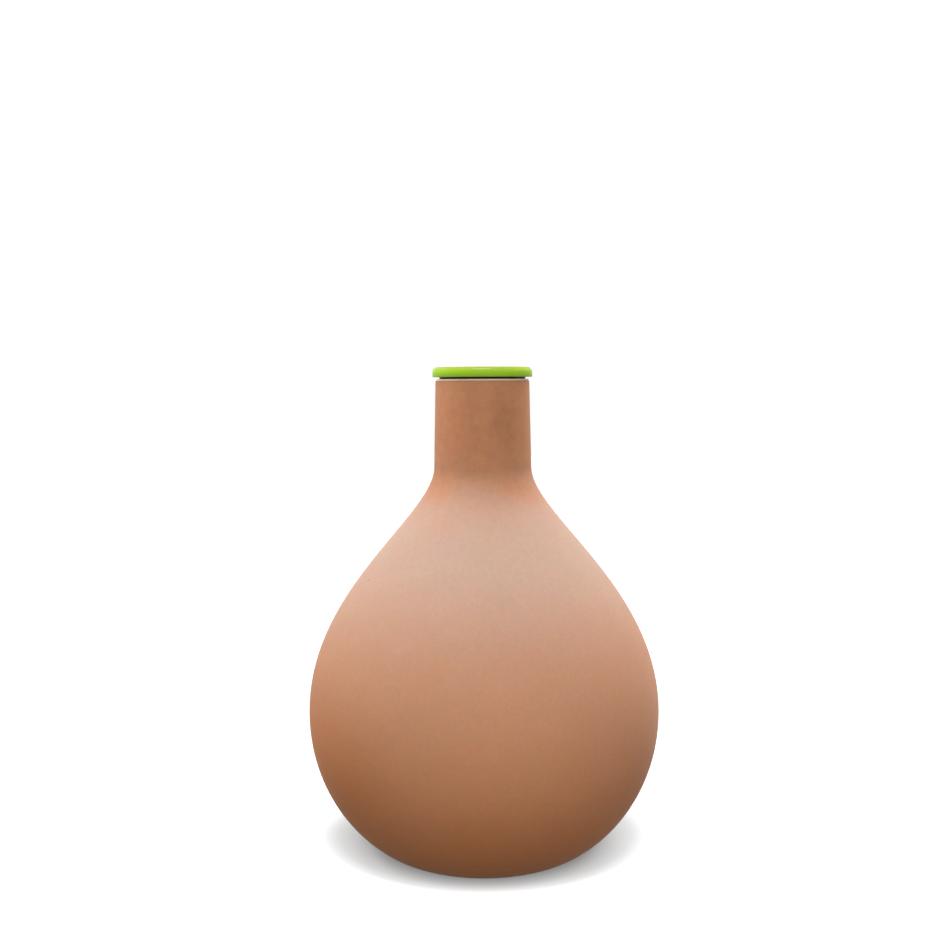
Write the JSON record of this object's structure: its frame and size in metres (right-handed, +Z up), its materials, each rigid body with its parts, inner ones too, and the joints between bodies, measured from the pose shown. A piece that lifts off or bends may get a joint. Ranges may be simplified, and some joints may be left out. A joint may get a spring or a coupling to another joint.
{
  "type": "irrigation olla",
  "caption": "Unglazed clay water jar with a round bowl, straight neck and flat base, closed by a lift-off moulded lid with a finned rubber seal.",
  "frame": {"origin": "middle of the jar's flat base, on the surface that it stands on", "axes": "+Z up along the jar's axis, through the neck; the object is round, so +X and +Y are free"},
  "size_m": [0.2, 0.2, 0.2782],
  "materials": {
    "terracotta": "unglazed, matt, fine-grained, slightly dusty",
    "green_plastic": "smooth moulded, soft sheen",
    "black_rubber": "moulded, satin"
  },
  "bodies": {
    "root": {"clay_body": "terracotta"},
    "lid": {"lid_cap": "green_plastic", "lid_seal": "black_rubber"}
  },
  "joints": [
    {"name": "lid_lift", "type": "slide", "parent": "root", "child": "lid", "axis": [0, 0, 1], "range_m": [0, 0.05]}
  ]
}
